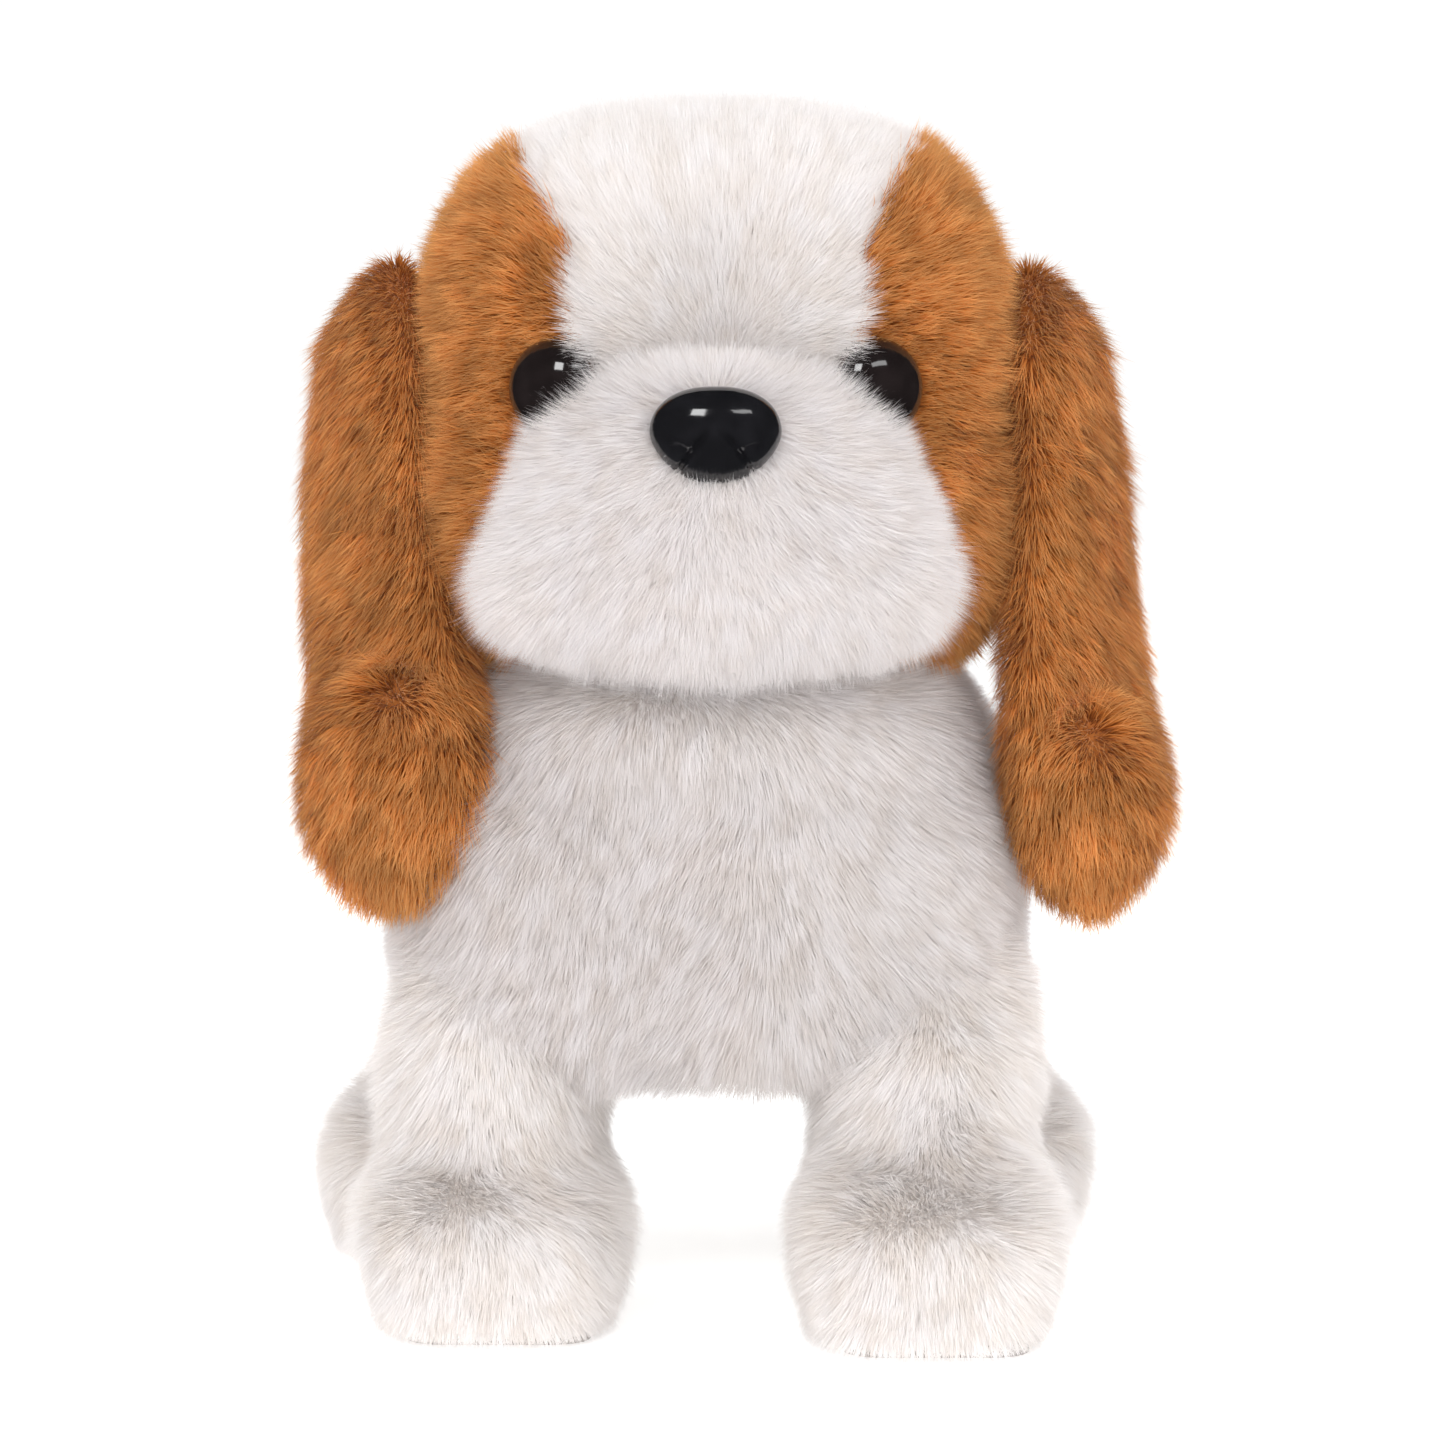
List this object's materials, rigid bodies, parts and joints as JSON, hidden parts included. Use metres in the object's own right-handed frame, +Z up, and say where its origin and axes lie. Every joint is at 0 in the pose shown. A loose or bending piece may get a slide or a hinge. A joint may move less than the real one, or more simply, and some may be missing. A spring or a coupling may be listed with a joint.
{
  "type": "interactive plush pet",
  "caption": "Battery-powered plush puppy with hanging ears, a nodding head, a wagging tail and swinging legs around a moulded case and gear train.",
  "frame": {"origin": "centre of the bounding box's footprint, on the floor under the soles", "axes": "+Z up, the puppy looks along -Y, +X is the puppy's left side"},
  "size_m": [0.136, 0.1774, 0.1858],
  "materials": {
    "white_plush": "matte",
    "brown_plush": "matte",
    "eye_black": "gloss",
    "nose_black": "gloss",
    "white_plastic": "matte",
    "case_plastic": "matte",
    "link_plastic": "satin",
    "gear_nylon": "satin",
    "sole_plastic": "matte",
    "steel": "satin",
    "motor_can": "satin",
    "cell": "satin",
    "brass": "satin",
    "board": "satin",
    "black_plastic": "matte"
  },
  "bodies": {
    "torso": {"torso_plush": "white_plush", "case_upper": "case_plastic", "case_lower": "case_plastic", "case_screws": "steel", "battery_left": "cell", "battery_right": "cell", "battery_spring_contact": "brass", "battery_plate_contact": "brass", "circuit_board": "board", "speaker": "black_plastic", "microphone": "black_plastic", "switch_body": "black_plastic", "gearbox_plate_inner": "gear_nylon", "gearbox_plate_outer": "gear_nylon", "motor": "motor_can", "gear_arbors": "steel", "front_axle": "steel", "rear_axle": "steel", "axle_caps": "black_plastic", "neck_pin": "steel", "tail_pin": "steel"},
    "battery_door": {"battery_door": "case_plastic", "battery_door_screw": "steel"},
    "switch_knob": {"switch_knob": "black_plastic"},
    "motor_rotor": {"motor_pinion": "gear_nylon"},
    "compound_gear_1": {"compound_gear_1": "gear_nylon"},
    "compound_gear_2": {"compound_gear_2": "gear_nylon"},
    "crankshaft": {"crankshaft": "gear_nylon"},
    "head": {"neck_lever": "link_plastic", "skull_front": "white_plastic", "skull_rear": "white_plastic", "head_blaze_plush": "white_plush", "head_side_plush_left": "brown_plush", "head_side_plush_right": "brown_plush", "muzzle_plush": "white_plush", "eye_left": "eye_black", "eye_right": "eye_black", "eye_washers": "white_plastic", "nose": "nose_black", "nose_washer": "white_plastic"},
    "ear_left": {"ear_left": "brown_plush"},
    "ear_right": {"ear_right": "brown_plush"},
    "tail": {"tail_lever": "link_plastic", "tail_plush": "white_plush"},
    "leg_front_left": {"leg_link_front_left": "link_plastic", "leg_plush_front_left": "white_plush", "sole_front_left": "sole_plastic"},
    "leg_front_right": {"leg_link_front_right": "link_plastic", "leg_plush_front_right": "white_plush", "sole_front_right": "sole_plastic"},
    "leg_hind_left": {"leg_link_hind_left": "link_plastic", "leg_plush_hind_left": "white_plush", "sole_hind_left": "sole_plastic"},
    "leg_hind_right": {"leg_link_hind_right": "link_plastic", "leg_plush_hind_right": "white_plush", "sole_hind_right": "sole_plastic"}
  },
  "joints": [
    {"name": "head_nod", "type": "hinge", "parent": "torso", "child": "head", "pos_m": [0, -0.024, 0.096], "axis": [1, 0, 0], "range_deg": [-8, 8]},
    {"name": "ear_left_lift", "type": "hinge", "parent": "head", "child": "ear_left", "pos_m": [0.045, -0.026, 0.163], "axis": [0, -1, 0], "range_deg": [0, 70]},
    {"name": "ear_right_lift", "type": "hinge", "parent": "head", "child": "ear_right", "pos_m": [-0.045, -0.026, 0.163], "axis": [0, 1, 0], "range_deg": [0, 70]},
    {"name": "leg_swing_front_left", "type": "hinge", "parent": "torso", "child": "leg_front_left", "pos_m": [0, -0.046, 0.058], "axis": [1, 0, 0], "range_deg": [-5, 14]},
    {"name": "leg_swing_front_right", "type": "hinge", "parent": "torso", "child": "leg_front_right", "pos_m": [0, -0.046, 0.058], "axis": [1, 0, 0], "range_deg": [-14, 5]},
    {"name": "leg_swing_hind_left", "type": "hinge", "parent": "torso", "child": "leg_hind_left", "pos_m": [0, 0.033, 0.058], "axis": [1, 0, 0], "range_deg": [-14, 5]},
    {"name": "leg_swing_hind_right", "type": "hinge", "parent": "torso", "child": "leg_hind_right", "pos_m": [0, 0.033, 0.058], "axis": [1, 0, 0], "range_deg": [-5, 14]},
    {"name": "tail_wag", "type": "hinge", "parent": "torso", "child": "tail", "pos_m": [0, 0.048, 0.078], "axis": [0, 0, 1], "range_deg": [-20, 20]},
    {"name": "battery_door_lift", "type": "slide", "parent": "torso", "child": "battery_door", "axis": [0, 0, -1], "range_m": [0, 0.008]},
    {"name": "power_switch_slide", "type": "slide", "parent": "torso", "child": "switch_knob", "axis": [1, 0, 0], "range_m": [0, 0.004]},
    {"name": "crank_spin", "type": "hinge", "parent": "torso", "child": "crankshaft", "pos_m": [0, -0.006, 0.068], "axis": [1, 0, 0], "continuous": true},
    {"name": "compound_gear_2_spin", "type": "hinge", "parent": "torso", "child": "compound_gear_2", "pos_m": [0, 0.00281, 0.07539], "axis": [1, 0, 0], "continuous": true},
    {"name": "compound_gear_1_spin", "type": "hinge", "parent": "torso", "child": "compound_gear_1", "pos_m": [0, 0.01362, 0.07146], "axis": [1, 0, 0], "continuous": true},
    {"name": "motor_spin", "type": "hinge", "parent": "torso", "child": "motor_rotor", "pos_m": [0, 0.02442, 0.07539], "axis": [1, 0, 0], "continuous": true}
  ],
  "couplings": [
    {"joint": "leg_swing_front_right", "follows": "leg_swing_front_left", "ratio": -1},
    {"joint": "leg_swing_hind_left", "follows": "leg_swing_front_left", "ratio": -1},
    {"joint": "leg_swing_hind_right", "follows": "leg_swing_front_left", "ratio": 1},
    {"joint": "compound_gear_2_spin", "follows": "crank_spin", "ratio": -3.6},
    {"joint": "compound_gear_1_spin", "follows": "crank_spin", "ratio": 12.96},
    {"joint": "motor_spin", "follows": "crank_spin", "ratio": -46.656}
  ]
}
